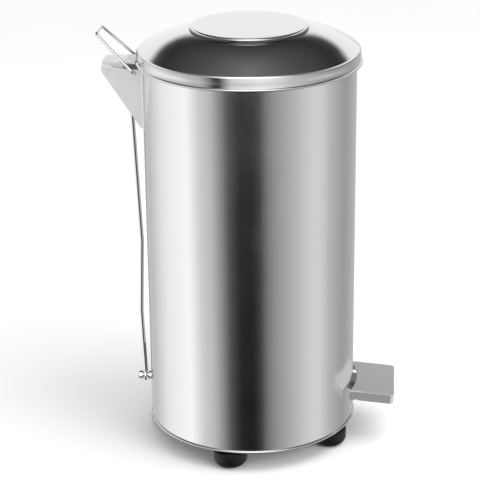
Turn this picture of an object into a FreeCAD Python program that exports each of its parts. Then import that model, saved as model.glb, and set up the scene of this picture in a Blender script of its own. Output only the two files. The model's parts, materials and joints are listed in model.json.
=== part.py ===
"""Pedal trash can: a stainless cylinder with a domed lid that a foot lever opens through a push rod.

Millimetres.  The origin is on the floor, on the axis of the cylinder.  Z is up, the pedal is towards
-Y, the lid's hinge is towards +Y.  Shapes are given with the lid closed and the pedal up.
"""
import FreeCAD, Part
import math
import os
import re
import Sketcher

V = FreeCAD.Vector
NAME = re.compile(r"\b[a-z]+(?:_[a-z]+)+\b")

SIZES = {
    # cylindrical outer shell, with a rolled bead at each end
    "shell_radius": 150,
    "shell_wall": 1,
    "shell_bottom": 29,
    "shell_top": 577.5,
    "foot_bead": 2,
    "mouth_bead": 2.5,
    "lever_slot_gap": 2.2,
    "lever_slot_below": 32,
    "lever_slot_above": 10,
    "stud_slot_gap": 1.2,
    "stud_slot_below": 10,
    "stud_slot_above": 50,
    # dished base plate inside the shell
    "base_lift": 2,
    "base_wall": 1.5,
    "base_flange": 16,
    # rubber feet, set in from the shell
    "foot_inset": 22,
    "foot_front_angle": 24,
    "foot_side_angle": 100,
    "foot_radius": 25,
    "foot_round": 14,
    "foot_shoulder_drop": 3,
    "foot_neck_radius": 19.5,
    "foot_neck_drop": 0.5,
    "foot_clearance": 0.4,
    "foot_recess_radius": 7.5,
    "foot_recess": 10,
    # M6 fasteners
    "bolt_radius": 3,
    "bolt_head_radius": 5.5,
    "bolt_head": 4,
    "bolt_spare": 2,
    "nut_corner_radius": 5.75,
    "nut_height": 5,
    "washer_radius": 6,
    "washer_height": 1.2,
    # lever pivot
    "pivot_back": -50,
    "pivot_lift": 49,
    "axle_radius": 4,
    "axle_fit": 0.05,
    "clevis_gap": 2.5,
    "clevis_wall": 3,
    "clevis_depth": 30,
    "clevis_above": 10,
    "clevis_rivet_radius": 2.5,
    "clevis_rivet_across": 11,
    "clevis_rivet_along": 9,
    "rivet_head_radius": 4,
    "rivet_head": 1.5,
    "clip_rim": 2.5,
    "clip_height": 1.2,
    "clip_gap": 0.3,
    "axle_end": 2,
    "bush_wall": 1.45,
    "bush_collar": 2,
    "bush_flange": 1.5,
    # foot lever, a channel with its web on top
    "lever_width": 30,
    "lever_wall": 2.5,
    "lever_depth": 9,
    "lever_bend_back": -100,
    "lever_rear_inset": 20,
    "lever_nose_depth": 9,
    # tread, a shallow pan on the lever's front end
    "tread_gap": 5.5,
    "tread_length": 56,
    "tread_lift": 5.5,
    "tread_slope": 5.3,
    "tread_width": 103,
    "tread_depth": 14,
    "tread_wall": 1.5,
    "tread_corner": 6,
    "tread_heel": 1.5,
    # threaded stud on the lever's tail, and the rod's eye on it
    "stud_grip": 18,
    "stud_spare": 1.4,
    "stud_drop": 1,
    "eye_gap": 9.5,
    "eye_width": 3,
    "eye_rim": 3.9,
    "eye_clearance": 1.6,
    "eye_play": 2.4,
    # push rod up the back of the shell
    "rod_radius": 3,
    "rod_low_bend_gap": 13,
    "rod_low_bend_lift": 105,
    "rod_mid_bend_gap": 9,
    "rod_mid_bend_lift": 216,
    "rod_bend": 40,
    "rod_top_bend": 7,
    "rod_pin_ahead": 28.3,
    "rod_pin_below": 19.5,
    "rod_pin_end": 6,
    # lid hinge
    "hinge_reach": 47,
    "hinge_drop": 22,
    "hinge_pin_radius": 3,
    "hinge_fit": 0.05,
    "hinge_head": 1.5,
    "hinge_head_radius": 4.2,
    "hinge_head_gap": 1.3,
    "hinge_end": 1,
    # rear bracket, two flared cheeks and a sloping web folded from one sheet
    "bracket_front": 33,
    "bracket_rear": 22,
    "bracket_wall": 2,
    "bracket_drop": 19.5,
    "bracket_reach": 55,
    "bracket_height": 84,
    "bracket_ear": 4,
    "bracket_ear_depth": 14,
    "bracket_corner": 3,
    "bracket_lug_depth": 6,
    "bracket_web_drop": 26,
    "bracket_flange": 14,
    "bracket_flange_wall": 1.5,
    "bracket_slot_gap": 4.5,
    "bracket_slot_length": 17.5,
    "bracket_slot_clearance": 2.5,
    # lid
    "lid_gap": 2.7,
    "lid_wall": 0.8,
    "lip_proud": 2,
    "lip_round": 1.2,
    "lip_overlap": 13.9,
    "lip_height": 4,
    "shoulder_rise": 4.5,
    "shoulder_round": 3.5,
    "shoulder_inset": 1,
    "shoulder_height": 2,
    "shoulder_tilt": 42,
    "dome_round": 150,
    "dome_rise": 26.5,
    "disc_radius": 82,
    "disc_rise": 7.5,
    "disc_round": 4,
    # hinge arm on the lid
    "arm_front_gap": 6,
    "arm_rear_gap": 2.5,
    "arm_wall": 1.5,
    "arm_over_lip": 1.9,
    "arm_behind_hinge": 7,
    "arm_below_hinge": 6,
    "arm_ahead_hinge": 25,
    "arm_toe": 8,
    "arm_tab": 11.4,
    "arm_tab_inset": 1,
    "arm_lip_gap": 0.4,
    # lug under the arm, with the slot that the rod's pin works in
    "lug_inner": 8,
    "lug_wall": 3,
    "lug_root": 14,
    "lug_rim": 4,
    "lug_end": 2.5,
    "lug_slot_near": 26.3,
    "lug_slot_far": 41,
    "lug_slot_clearance": 1.7,
    "lug_neck_ahead": 25,
    "lug_neck_length": 18,
    "lug_neck_drop": 10,
    # carrying bail
    "bail_wire": 2,
    "bail_gap": 7,
    "bail_drop": 4.5,
    "bail_reach": 52.6,
    "bail_rise": 52.5,
    "bail_spread": 5,
    "bail_tip_spread": 2,
    "bail_bend": 5,
    "bail_fit": 0.4,
    "bail_hook": 2.5,
    # lift-out inner bucket
    "bucket_gap": 5.5,
    "bucket_wall": 1,
    "bucket_lift": 51,
    "bucket_round": 6,
    "bucket_rim_over": 0.9,
    "bucket_rim": 1.5,
    "ear_width": 42,
    "ear_height": 18,
    "ear_wall": 1.5,
    "ear_rivet_spread": 8,
    "ear_rivet_radius": 2,
    "ear_rivet_rim": 1.5,
    "ear_rivet_head": 1,
    "ear_rivet_gap": 0.05,
    "handle_wire": 2.25,
    "handle_drop": 18.5,
    "handle_inset": 7.5,
    "handle_bend": 3,
    "handle_poke": 2.5,
    "handle_fit": 0.3,
    # how far a cutting tool runs past what it cuts
    "cut_margin": 10,
}

# What is worked out from the sizes: each piece follows the one that it fits to.
FITTED = {
    "shell_inside": "shell_radius - shell_wall",
    "base_underside": "shell_bottom + base_lift",
    "base_top": "base_underside + base_wall",
    "foot_circle": "shell_radius - foot_inset",
    "foot_bore": "bolt_radius + foot_clearance",
    "foot_shoulder": "shell_bottom - foot_shoulder_drop",
    "foot_neck": "shell_bottom - foot_neck_drop",
    "pivot_height": "shell_bottom + pivot_lift",
    "clevis_inside": "lever_width / 2 + bush_flange + clevis_gap",
    "clevis_half": "clevis_inside + clevis_wall",
    "clevis_floor": "base_top + clevis_wall",
    "clevis_top": "pivot_height + clevis_above",
    "axle_clip_start": "clevis_half + clip_gap",
    "clip_radius": "axle_radius + clip_rim",
    "bush_bore": "axle_radius + axle_fit",
    "bush_radius": "bush_bore + bush_wall",
    "bush_flange_radius": "bush_radius + bush_collar",
    "lever_bottom": "pivot_height - lever_depth",
    "lever_rear": "shell_radius - lever_rear_inset",
    "lever_slot_bottom": "pivot_height - lever_slot_below",
    "lever_slot_top": "pivot_height + lever_slot_above",
    "tread_start": "shell_radius + tread_gap",
    "tread_height": "pivot_height + tread_lift",
    "tread_half": "tread_width / 2",
    "tread_sagitta": "tread_start - sqrt(tread_start * tread_start - tread_half * tread_half)",
    "tread_drop": "tan(tread_slope)",
    "lever_front_top": "tread_height - tread_wall / cos(tread_slope)",
    "lever_top": "lever_front_top + (tread_start + lever_bend_back) * tread_drop",
    "lever_nose": "tread_start + tread_length - 2 * tread_wall",
    "lever_nose_top": "lever_front_top - (tread_length - 2 * tread_wall) * tread_drop",
    "stud_height": "pivot_height - stud_drop",
    "stud_start": "lever_rear - stud_grip",
    "stud_slot_bottom": "stud_height - stud_slot_below",
    "stud_slot_top": "stud_height + stud_slot_above",
    "eye_back": "shell_radius + eye_gap",
    "eye_hole": "bolt_radius + eye_clearance",
    "eye_radius": "eye_hole + eye_rim",
    "washer_gap": "eye_width / 2 + eye_play",
    "stud_end": "eye_back + washer_gap + washer_height + nut_height + stud_spare",
    "hinge_back": "shell_radius + hinge_reach",
    "hinge_height": "shell_top - hinge_drop",
    "rod_foot_lift": "eye_hole + 0.75 * rod_radius",
    "rod_low_bend_back": "shell_radius + rod_low_bend_gap",
    "rod_low_bend_height": "stud_height + rod_low_bend_lift",
    "rod_mid_bend_back": "shell_radius + rod_mid_bend_gap",
    "rod_mid_bend_height": "stud_height + rod_mid_bend_lift",
    "rod_pin_back": "hinge_back - rod_pin_ahead",
    "rod_pin_height": "hinge_height - rod_pin_below",
    "rod_clip_start": "lug_inner + lug_wall + clip_gap",
    "rod_pin_length": "rod_clip_start + clip_height + rod_pin_end",
    "bracket_top": "shell_top - bracket_drop",
    "bracket_back": "shell_radius + bracket_reach",
    "bracket_bottom": "bracket_top - bracket_height",
    "bracket_ear_top": "bracket_top + bracket_ear",
    "bracket_shoulder": "bracket_top - bracket_lug_depth",
    "bracket_web_top": "bracket_top - bracket_web_drop",
    "bracket_taper": "(bracket_front - bracket_rear) / bracket_reach",
    "bracket_slope": "atan((bracket_shoulder - bracket_bottom) / bracket_reach)",
    "bracket_web_inset": "bracket_wall / sin(bracket_slope)",
    "bracket_web_edge": "shell_radius + (bracket_web_top - bracket_bottom) / tan(bracket_slope)",
    "bracket_slot_front": "shell_radius + bracket_slot_gap",
    "bracket_slot_half": "rod_radius + bracket_slot_clearance",
    "hinge_bore": "hinge_pin_radius + hinge_fit",
    "hinge_cheek": "bracket_front - hinge_reach * bracket_taper + hinge_head_gap",
    "lid_inside": "shell_radius + mouth_bead + lid_gap",
    "lid_radius": "lid_inside + lid_wall",
    "lip_radius": "lid_radius + lip_proud",
    "lip_bottom": "shell_top - lip_overlap",
    "lip_top": "lip_bottom + lip_height",
    "lid_shoulder": "shell_top + shoulder_rise",
    "dome_start_radius": "lid_radius - shoulder_inset",
    "dome_start_height": "lid_shoulder + shoulder_height",
    "disc_base": "lid_shoulder + dome_rise",
    "disc_top": "disc_base + disc_rise",
    "arm_front": "bracket_front - bracket_wall - arm_front_gap",
    "arm_rear": "bracket_rear - bracket_wall - arm_rear_gap",
    "arm_top": "lip_bottom + arm_over_lip",
    "arm_underside": "arm_top - arm_wall",
    "arm_back": "hinge_back + arm_behind_hinge",
    "arm_flange_bottom": "hinge_height - arm_below_hinge",
    "arm_flange_front": "hinge_back - arm_ahead_hinge",
    "arm_tab_top": "lip_top + arm_tab",
    "arm_collar_inside": "lip_radius + arm_lip_gap",
    "arm_over_lid_lip": "lip_top + arm_lip_gap",
    "lug_tilt": "atan(rod_pin_below / rod_pin_ahead)",
    "lug_slot_half": "rod_radius + lug_slot_clearance",
    "lug_half": "lug_slot_half + lug_rim",
    "lug_reach": "lug_slot_far + lug_end",
    "lug_slot_near_end": "lug_slot_near + lug_slot_half",
    "lug_slot_far_end": "lug_slot_far - lug_slot_half",
    "bail_back": "shell_radius + bail_gap",
    "bail_height": "bracket_top - bail_drop",
    "bail_half_width": "bracket_front + bail_spread",
    "bail_tip_half_width": "bracket_rear + bail_tip_spread",
    "bail_grip": "bracket_front - bail_gap * bracket_taper - bracket_wall - bail_hook",
    "bucket_radius": "shell_inside - bucket_gap",
    "bucket_inside": "bucket_radius - bucket_wall",
    "bucket_bottom": "pivot_height + bucket_lift",
    "bucket_rim_radius": "shell_radius + mouth_bead + bucket_rim_over",
    "bucket_rim_top": "shell_top + bucket_rim",
    "ear_rivet_head_radius": "ear_rivet_radius + ear_rivet_rim",
    "handle_height": "shell_top - handle_drop",
    "handle_half_width": "bucket_inside - handle_inset",
    "handle_end": "bucket_radius + handle_poke",
    "ear_bottom": "handle_height - ear_height / 2",
    "ear_inside": "bucket_inside - ear_wall",
    "ear_rivet_reach": "ear_rivet_rim + 2 * ear_rivet_radius",
}

doc = FreeCAD.newDocument("pedal_trash_can")
sheet = doc.addObject("Spreadsheet::Sheet", "Sizes")


def fill_sheet():
    for row, (name, size) in enumerate(SIZES.items(), start=1):
        sheet.set(f"A{row}", name)
        sheet.set(f"B{row}", str(size))
        sheet.setAlias(f"B{row}", name)
    doc.recompute()


def spelled_out(text):
    """An expression in which each fitted value is replaced by what it is worked out from."""
    def replacement(found):
        name = found.group()
        return f"({spelled_out(FITTED[name])})" if name in FITTED else name
    return NAME.sub(replacement, str(text))


def value(text):
    """The number that an expression gives with the sheet's sizes."""
    return float(sheet.evalExpression(spelled_out(text)))


def bound(text):
    """The same expression, as an object outside the sheet has to write it."""
    return NAME.sub(lambda found: "Sizes." + found.group(), spelled_out(text))


def bind(thing, **expressions):
    for name, text in expressions.items():
        thing.setExpression(name.replace("__", "."), bound(text))
    return thing


def place(thing, x="0", y="0", z="0", axis=None, turn="0"):
    """Put a thing at (x, y, z), turned about an axis."""
    if axis is not None:
        thing.Placement = FreeCAD.Placement(V(0, 0, 0), FreeCAD.Rotation(axis, 1))
        bind(thing, Placement__Rotation__Angle=turn)
    bind(thing, Placement__Base__x=x, Placement__Base__y=y, Placement__Base__z=z)
    return thing


def add(kind, name):
    thing = doc.addObject(kind, name)
    thing.Label = name
    return thing


def box(name, x, y, z, length, width, height):
    block = bind(add("Part::Box", name), Length=length, Width=width, Height=height)
    return place(block, x, y, z)


def cylinder(name, radius, height, x="0", y="0", z="0", axis=None, turn="90"):
    """A cylinder that starts at (x, y, z) and runs along Z, or along Z turned about an axis."""
    rod = bind(add("Part::Cylinder", name), Radius=radius, Height=height)
    return place(rod, x, y, z, axis, turn)


def across(name, radius, length, y, z, start=None):
    """A cylinder along X, centred on the object's middle plane unless a start is given."""
    first = f"-({length}) / 2" if start is None else start
    return cylinder(name, radius, length, first, y, z, V(0, 1, 0))


def rearward(name, radius, length, y, z):
    """A cylinder along +Y from y, on the middle plane."""
    return cylinder(name, radius, length, "0", y, z, V(1, 0, 0), "-90")


def cut(name, base, *tools):
    result = add("Part::Cut", name)
    result.Base = base
    result.Tool = tools[0] if len(tools) == 1 else fuse(name + "_cutters", *tools)
    return result


def fuse(name, *shapes):
    result = add("Part::MultiFuse", name)
    result.Shapes = list(shapes)
    return result


def common(name, *shapes):
    result = add("Part::MultiCommon", name)
    result.Shapes = list(shapes)
    return result


def group(name, pieces):
    """Separate solids that share one node."""
    result = add("Part::Compound", name)
    result.Links = list(pieces)
    return result


def new_body(name):
    return add("PartDesign::Body", name)


def outline(body, role, points):
    """A closed sketch on one of the body's own planes.

    A point is (x, y), or (x, y, r) where the edge that leaves it is an arc of radius r, which bulges
    to the right of the way the outline runs, or to the left if r starts with a minus.
    """
    sketch = body.newObject("Sketcher::SketchObject", f"{body.Name}_sketch")
    origin_plane = next(item for item in body.Origin.OriginFeatures if item.Role == role)
    sketch.AttachmentSupport = [(origin_plane, "")]
    sketch.MapMode = "FlatFace"
    corners = [V(value(point[0]), value(point[1]), 0) for point in points]
    ends = []
    for index, point in enumerate(points):
        first, last = corners[index], corners[(index + 1) % len(points)]
        if len(point) == 2:
            sketch.addGeometry(Part.LineSegment(first, last))
            ends.append((1, 2))
            continue
        radius = value(point[2])
        sketch.addGeometry(arc_between(first, last, radius))
        ends.append((1, 2) if radius > 0 else (2, 1))
    for index, point in enumerate(points):
        following = (index + 1) % len(points)
        join = Sketcher.Constraint("Coincident", index, ends[index][1], following, ends[following][0])
        sketch.addConstraint(join)
        for kind, text, number in (("DistanceX", point[0], corners[index].x),
                                   ("DistanceY", point[1], corners[index].y)):
            rule = Sketcher.Constraint(kind, -1, 1, index, ends[index][0], number)
            tie(sketch, rule, text)
        if len(point) == 3:
            radius = str(point[2]).lstrip("-")
            tie(sketch, Sketcher.Constraint("Radius", index, value(radius)), radius)
    return sketch


def tie(sketch, rule, text):
    number = sketch.addConstraint(rule)
    sketch.setExpression(f"Constraints[{number}]", bound(text))


def arc_between(first, last, radius):
    """The shorter arc of that radius, drawn anticlockwise, on the side that the radius's sign says."""
    along = last - first
    half = along.Length / 2
    sagitta = abs(radius) - math.sqrt(max(radius * radius - half * half, 0))
    to_right = V(along.y, -along.x, 0).normalize()
    middle = (first + last) / 2 + to_right * math.copysign(sagitta, radius)
    return Part.Arc(first, middle, last) if radius > 0 else Part.Arc(last, middle, first)


def spin(body, points, angle="360"):
    """Turn an outline in (radius, height) about the Z axis."""
    sketch = outline(body, "XZ_Plane", points)
    turned = body.newObject("PartDesign::Revolution", f"{body.Name}_turned")
    turned.Profile = sketch
    turned.ReferenceAxis = (sketch, ["V_Axis"])
    turned.Midplane = True
    bind(turned, Angle=angle)
    return body


def extrude(body, role, points, length):
    """Pad an outline by a length, half of it to each side of the plane."""
    padded = body.newObject("PartDesign::Pad", f"{body.Name}_padded")
    padded.Profile = outline(body, role, points)
    padded.SideType = "Symmetric"
    bind(padded, Length=length)
    return body


def wire_route(points, radii):
    """Straight runs through the points, joined by tangent arcs of the radii given."""
    edges = []
    start = points[0]
    for before, corner, after, radius in zip(points, points[1:], points[2:], radii):
        arriving = (corner - before).normalize()
        leaving = (after - corner).normalize()
        turn = arriving.getAngle(leaving)
        trim = radius * math.tan(turn / 2)
        first = corner - arriving * trim
        last = corner + leaving * trim
        inward = (leaving - arriving).normalize()
        middle = corner + inward * (radius / math.cos(turn / 2) - radius)
        edges.append(Part.LineSegment(start, first).toShape())
        edges.append(Part.Arc(first, middle, last).toShape())
        start = last
    edges.append(Part.LineSegment(start, points[-1]).toShape())
    return edges


def wire_form(edges, radius):
    """A round wire along a route."""
    route = Part.Wire(edges)
    start = edges[0].Vertexes[0].Point
    direction = edges[0].tangentAt(edges[0].FirstParameter)
    section = Part.Wire(Part.makeCircle(radius, start, direction))
    return route.makePipeShell([section], True, False)


def held_shape(name, shape):
    """A piece whose shape is worked out here from the sheet's values."""
    piece = add("Part::Feature", name)
    piece.Shape = shape
    return piece


def hexagon_nut(name, x, y, z, axis=None, turn="0"):
    """A plain M6 nut whose lower face starts at (x, y, z)."""
    blank = bind(add("Part::Prism", name + "_blank"), Circumradius="nut_corner_radius", Height="nut_height")
    blank.Polygon = 6
    place(blank, x, y, z, axis, turn)
    bore = cylinder(name + "_bore", "bolt_radius", "nut_height", x, y, z, axis, turn)
    return cut(name, blank, bore)


def foot_places():
    """Angle of each foot, counted from the front."""
    return ["foot_front_angle", "foot_side_angle", "180", "-foot_side_angle", "-foot_front_angle"]


def on_foot_circle(angle):
    return f"foot_circle * sin({angle})", f"-foot_circle * cos({angle})"


def make_outer_shell():
    height = "shell_top - shell_bottom"
    skin = cylinder("shell_skin", "shell_radius", height, z="shell_bottom")
    beads = []
    for name, bead, centre in (("shell_foot_bead", "foot_bead", "shell_bottom + foot_bead"),
                               ("shell_mouth_bead", "mouth_bead", "shell_top - mouth_bead")):
        ring = bind(add("Part::Torus", name), Radius1="shell_radius", Radius2=bead)
        beads.append(place(ring, z=centre))
    blank = fuse("shell_blank", skin, *beads)
    hollow = cylinder("shell_hollow", "shell_inside", height, z="shell_bottom")
    lever_slot = wall_slot("shell_lever_slot", "lever_width / 2 + lever_slot_gap",
                           "lever_slot_bottom", "lever_slot_top", "-(shell_radius + cut_margin)")
    stud_slot = wall_slot("shell_stud_slot", "nut_corner_radius + stud_slot_gap",
                          "stud_slot_bottom", "stud_slot_top", "shell_radius - 2 * cut_margin")
    cut("outer_shell", blank, hollow, lever_slot, stud_slot)


def wall_slot(name, half, bottom, top, back):
    """A cutter through the shell's wall, centred on the middle plane."""
    return box(name, f"-({half})", back, bottom, f"2 * ({half})", "3 * cut_margin", f"{top} - {bottom}")


def clevis_rivet_places():
    return [(f"{x}clevis_rivet_across", f"pivot_back {y} clevis_rivet_along")
            for x in ("-", "") for y in ("-", "+")]


def make_base_plate():
    dish = spin(new_body("base_dish"), [
        ("0", "base_underside"), ("shell_inside", "base_underside"),
        ("shell_inside", "base_underside + base_flange"),
        ("shell_inside - base_wall", "base_underside + base_flange"),
        ("shell_inside - base_wall", "base_top"), ("0", "base_top")])
    holes = []
    for number, angle in enumerate(foot_places(), start=1):
        x, y = on_foot_circle(angle)
        holes.append(cylinder(f"base_foot_hole_{number}", "foot_bore", "base_wall", x, y, "base_underside"))
    for number, (x, y) in enumerate(clevis_rivet_places(), start=1):
        holes.append(cylinder(f"base_rivet_hole_{number}", "clevis_rivet_radius", "base_wall",
                              x, y, "base_underside"))
    cut("base_plate", dish, *holes)


def make_feet():
    for number, angle in enumerate(foot_places(), start=1):
        foot = spin(new_body(f"foot_{number}"), [
            ("foot_recess_radius", "0"), ("foot_radius - foot_round", "0", "foot_round"),
            ("foot_radius", "foot_round"), ("foot_radius", "foot_shoulder"),
            ("foot_neck_radius", "foot_neck"), ("foot_neck_radius", "base_underside"),
            ("foot_bore", "base_underside"), ("foot_bore", "foot_recess"),
            ("foot_recess_radius", "foot_recess")])
        x, y = on_foot_circle(angle)
        place(foot, x, y)


def make_foot_fasteners():
    screws, nuts = [], []
    for number, angle in enumerate(foot_places(), start=1):
        x, y = on_foot_circle(angle)
        head = cylinder(f"foot_screw_head_{number}", "bolt_head_radius", "bolt_head",
                        x, y, "foot_recess - bolt_head")
        shank = cylinder(f"foot_screw_shank_{number}", "bolt_radius",
                         "base_top + nut_height + bolt_spare - foot_recess", x, y, "foot_recess")
        screws.append(fuse(f"foot_screw_{number}", head, shank))
        nuts.append(hexagon_nut(f"foot_nut_{number}", x, y, "base_top"))
    group("foot_screws", screws)
    group("foot_nuts", nuts)


def make_pivot_clevis():
    channel = extrude(new_body("clevis_channel"), "XZ_Plane", [
        ("-clevis_half", "base_top"), ("clevis_half", "base_top"), ("clevis_half", "clevis_top"),
        ("clevis_inside", "clevis_top"), ("clevis_inside", "clevis_floor"),
        ("-clevis_inside", "clevis_floor"), ("-clevis_inside", "clevis_top"),
        ("-clevis_half", "clevis_top")], "clevis_depth")
    place(channel, y="pivot_back")
    bores = [across("clevis_axle_bore", "bush_bore", "4 * clevis_half", "pivot_back", "pivot_height")]
    rivets = []
    for number, (x, y) in enumerate(clevis_rivet_places(), start=1):
        bores.append(cylinder(f"clevis_rivet_hole_{number}", "clevis_rivet_radius", "clevis_wall",
                              x, y, "base_top"))
        shank = cylinder(f"clevis_rivet_shank_{number}", "clevis_rivet_radius",
                         "base_wall + clevis_wall", x, y, "base_underside")
        lower = cylinder(f"clevis_rivet_tail_{number}", "rivet_head_radius", "rivet_head",
                         x, y, "base_underside - rivet_head")
        upper = cylinder(f"clevis_rivet_head_{number}", "rivet_head_radius", "rivet_head",
                         x, y, "clevis_floor")
        rivets.append(fuse(f"clevis_rivet_{number}", shank, lower, upper))
    cut("pivot_clevis", channel, *bores)
    group("clevis_rivets", rivets)


def retaining_clip(name, radius, bore, y, z, start):
    """A ring on a pin that runs along X."""
    blank = across(f"{name}_blank", radius, "clip_height", y, z, start)
    return cut(name, blank, across(f"{name}_bore", bore, "clip_height", y, z, start))


def make_axle():
    across("lever_axle", "axle_radius", "2 * (axle_clip_start + clip_height + axle_end)",
           "pivot_back", "pivot_height")
    starts = {"left": "-(axle_clip_start + clip_height)", "right": "axle_clip_start"}
    group("axle_clips", [retaining_clip(f"axle_clip_{side}", "clip_radius", "axle_radius",
                                        "pivot_back", "pivot_height", start)
                         for side, start in starts.items()])


def make_lever_bushes():
    starts = {"left": ("-lever_width / 2", "-(lever_width / 2 + bush_flange)"),
              "right": ("lever_width / 2 - lever_wall", "lever_width / 2")}
    for side, (sleeve_start, collar_start) in starts.items():
        sleeve = across(f"bush_{side}_sleeve", "bush_radius", "lever_wall",
                        "pivot_back", "pivot_height", sleeve_start)
        collar = across(f"bush_{side}_collar", "bush_flange_radius", "bush_flange",
                        "pivot_back", "pivot_height", collar_start)
        bore = across(f"bush_{side}_bore", "bush_bore", "2 * lever_width", "pivot_back", "pivot_height")
        cut(f"lever_bush_{side}", fuse(f"bush_{side}_blank", sleeve, collar), bore)


def make_lever():
    bar = extrude(new_body("lever_bar"), "YZ_Plane", [
        ("lever_rear", "lever_bottom"), ("lever_rear", "lever_top"), ("lever_bend_back", "lever_top"),
        ("-lever_nose", "lever_nose_top"), ("-lever_nose", "lever_nose_top - lever_nose_depth"),
        ("-tread_start", "lever_bottom")], "lever_width")
    hollow = extrude(new_body("lever_hollow"), "YZ_Plane", [
        ("lever_rear - lever_wall", "lever_bottom - lever_wall"),
        ("lever_rear - lever_wall", "lever_top - lever_wall"),
        ("lever_bend_back", "lever_top - lever_wall"),
        ("-(lever_nose + lever_wall)", "lever_nose_top - lever_wall * (tread_drop + 1 / cos(tread_slope))"),
        ("-(lever_nose + lever_wall)", "lever_bottom - cut_margin"),
        ("-tread_start", "lever_bottom - cut_margin")], "lever_width - 2 * lever_wall")
    bore = across("lever_bush_bore", "bush_radius", "2 * lever_width", "pivot_back", "pivot_height")
    stud_hole = rearward("lever_stud_hole", "bolt_radius", "3 * lever_wall",
                         "lever_rear - 2 * lever_wall", "stud_height")
    cut("pedal_lever", bar, hollow, bore, stud_hole)


def pan_outline(half, front, corner, back):
    """Three sides of a pan with two rounded front corners, from its left rear end to its right one."""
    return [(f"-{half}", back), (f"-{half}", f"-({front} - {corner})", corner),
            (f"-({half} - {corner})", f"-{front}"), (f"{half} - {corner}", f"-{front}", corner),
            (half, f"-({front} - {corner})")]


def make_tread():
    slab = extrude(new_body("tread_slab"), "XY_Plane",
                   pan_outline("tread_half", "tread_length", "tread_corner", "tread_sagitta")
                   + [("tread_half", "tread_sagitta", "-tread_start")], "2 * tread_depth")
    hollow = extrude(new_body("tread_hollow"), "XY_Plane",
                     pan_outline("(tread_half - tread_wall)", "(tread_length - tread_wall)",
                                 "(tread_corner - tread_wall)", "tread_half")
                     + [("tread_half - tread_wall", "tread_half")], "4 * tread_depth")
    for piece, drop in ((slab, "0"), (hollow, "(2 * tread_depth + tread_wall)")):
        place(piece, "0", f"-tread_start + {drop} * sin(tread_slope)",
              f"tread_height - {drop} * cos(tread_slope)", V(1, 0, 0), "tread_slope")
    above = box("tread_above", "-tread_width", "0", "0", "2 * tread_width",
                "3 * tread_length", "2 * tread_depth")
    place(above, "-tread_width", "-tread_start - 1.5 * tread_length * cos(tread_slope)",
          "tread_height - 1.5 * tread_length * sin(tread_slope)", V(1, 0, 0), "tread_slope")
    heel = across("tread_heel_cut", "tread_heel", "2 * tread_width", "-tread_start",
                  "tread_height - tread_depth")
    cut("pedal_tread", slab, hollow, above, heel)


def make_tail_stud():
    rearward("tail_stud", "bolt_radius", "stud_end - stud_start", "stud_start", "stud_height")
    washer_starts = {"inner": "eye_back - washer_gap - washer_height", "outer": "eye_back + washer_gap"}
    washers = []
    for side, start in washer_starts.items():
        blank = rearward(f"tail_washer_{side}_blank", "washer_radius", "washer_height", start, "stud_height")
        bore = rearward(f"tail_washer_{side}_bore", "bolt_radius", "washer_height", start, "stud_height")
        washers.append(cut(f"tail_washer_{side}", blank, bore))
    group("tail_washers", washers)
    starts = {"lock": "lever_rear", "anchor": "lever_rear - lever_wall - nut_height",
              "inner": f"{washer_starts['inner']} - nut_height",
              "outer": f"{washer_starts['outer']} + washer_height"}
    nuts = [hexagon_nut(f"tail_nut_{side}", "0", start, "stud_height", V(1, 0, 0), "-90")
            for side, start in starts.items()]
    group("tail_nuts", nuts)


def make_push_rod():
    pin_back, pin_height = value("rod_pin_back"), value("rod_pin_height")
    eye_centre = V(0, value("eye_back"), value("stud_height"))
    route = [eye_centre + V(0, 0, value("rod_foot_lift")),
             V(0, value("rod_low_bend_back"), value("rod_low_bend_height")),
             V(0, value("rod_mid_bend_back"), value("rod_mid_bend_height")),
             V(0, pin_back, pin_height), V(value("rod_pin_length"), pin_back, pin_height)]
    bends = [value("rod_bend"), value("rod_bend"), value("rod_top_bend")]
    rod = wire_form(wire_route(route, bends), value("rod_radius"))
    width, rearwards = value("eye_width"), V(0, 1, 0)
    eye = Part.makeCylinder(value("eye_radius"), width, eye_centre - rearwards * width / 2, rearwards)
    hole = Part.makeCylinder(value("eye_hole"), 3 * width, eye_centre - rearwards * 3 * width / 2, rearwards)
    held_shape("push_rod", rod.fuse(eye).cut(hole))
    retaining_clip("rod_clip", "clip_radius", "rod_radius", "rod_pin_back", "rod_pin_height",
                   "rod_clip_start")


def tapered_box(name, front_half, rear_half, bottom, top):
    """A block between two heights, whose sides run in from the shell to the bracket's back."""
    spread = f"(({front_half}) - ({rear_half})) * cut_margin / bracket_reach"
    front, rear = f"({front_half} + {spread})", f"({rear_half} - {spread})"
    body = extrude(new_body(name), "XY_Plane", [
        (f"-{front}", "shell_radius - cut_margin"), (front, "shell_radius - cut_margin"),
        (rear, "bracket_back + cut_margin"), (f"-{rear}", "bracket_back + cut_margin")],
        f"({top}) - ({bottom})")
    return place(body, z=f"(({top}) + ({bottom})) / 2")


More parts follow.
